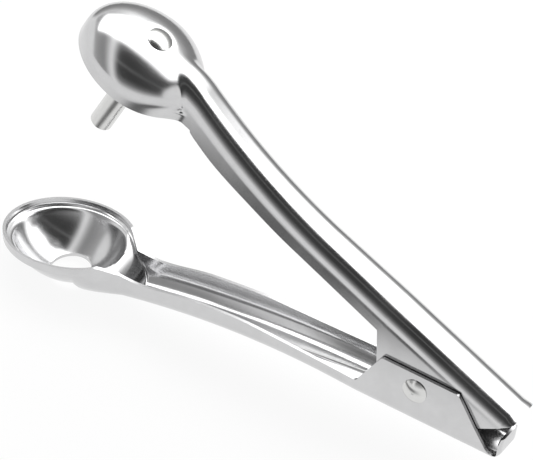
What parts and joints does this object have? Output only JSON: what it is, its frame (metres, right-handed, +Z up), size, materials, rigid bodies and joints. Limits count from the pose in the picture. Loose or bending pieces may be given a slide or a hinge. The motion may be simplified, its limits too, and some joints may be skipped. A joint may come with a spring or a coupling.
{
  "type": "olive pitter",
  "caption": "Hand-held lever pitter: two pressed channel levers on a pivot rivet, a stepped bowl with a pit hole, a dome with a blunt pitting pin, and a torsion spring that holds them open.",
  "frame": {"origin": "on the flat underside of the lower lever, straight below the pivot rivet's axis", "axes": "+Z up from the lower lever to the upper lever, -X towards the bowl and dome, +X towards the tail, Y along the pivot rivet; +Y is the side of the upper lever's spring leg"},
  "size_m": [0.1754, 0.0344, 0.1044],
  "materials": {
    "plated_levers": "bright nickel-chrome plated pressed steel, polished",
    "pin_steel": "turned steel pin, polished and plated",
    "rivet_steel": "domed rivet heads, plated",
    "spring_wire": "drawn spring wire, zinc plated"
  },
  "bodies": {
    "lower": {"lower_lever": "plated_levers", "pivot_rivet": "rivet_steel", "return_spring": "spring_wire"},
    "upper": {"upper_lever": "plated_levers", "pitting_pin": "pin_steel"}
  },
  "joints": [
    {"name": "pivot", "type": "hinge", "parent": "lower", "child": "upper", "pos_m": [0, 0, 0.0134], "axis": [0, -1, 0], "range_deg": [0, 33.5], "stiffness_Nm_per_rad": 0.2, "springref_deg": -34.38, "deforming": ["return_spring"]}
  ]
}
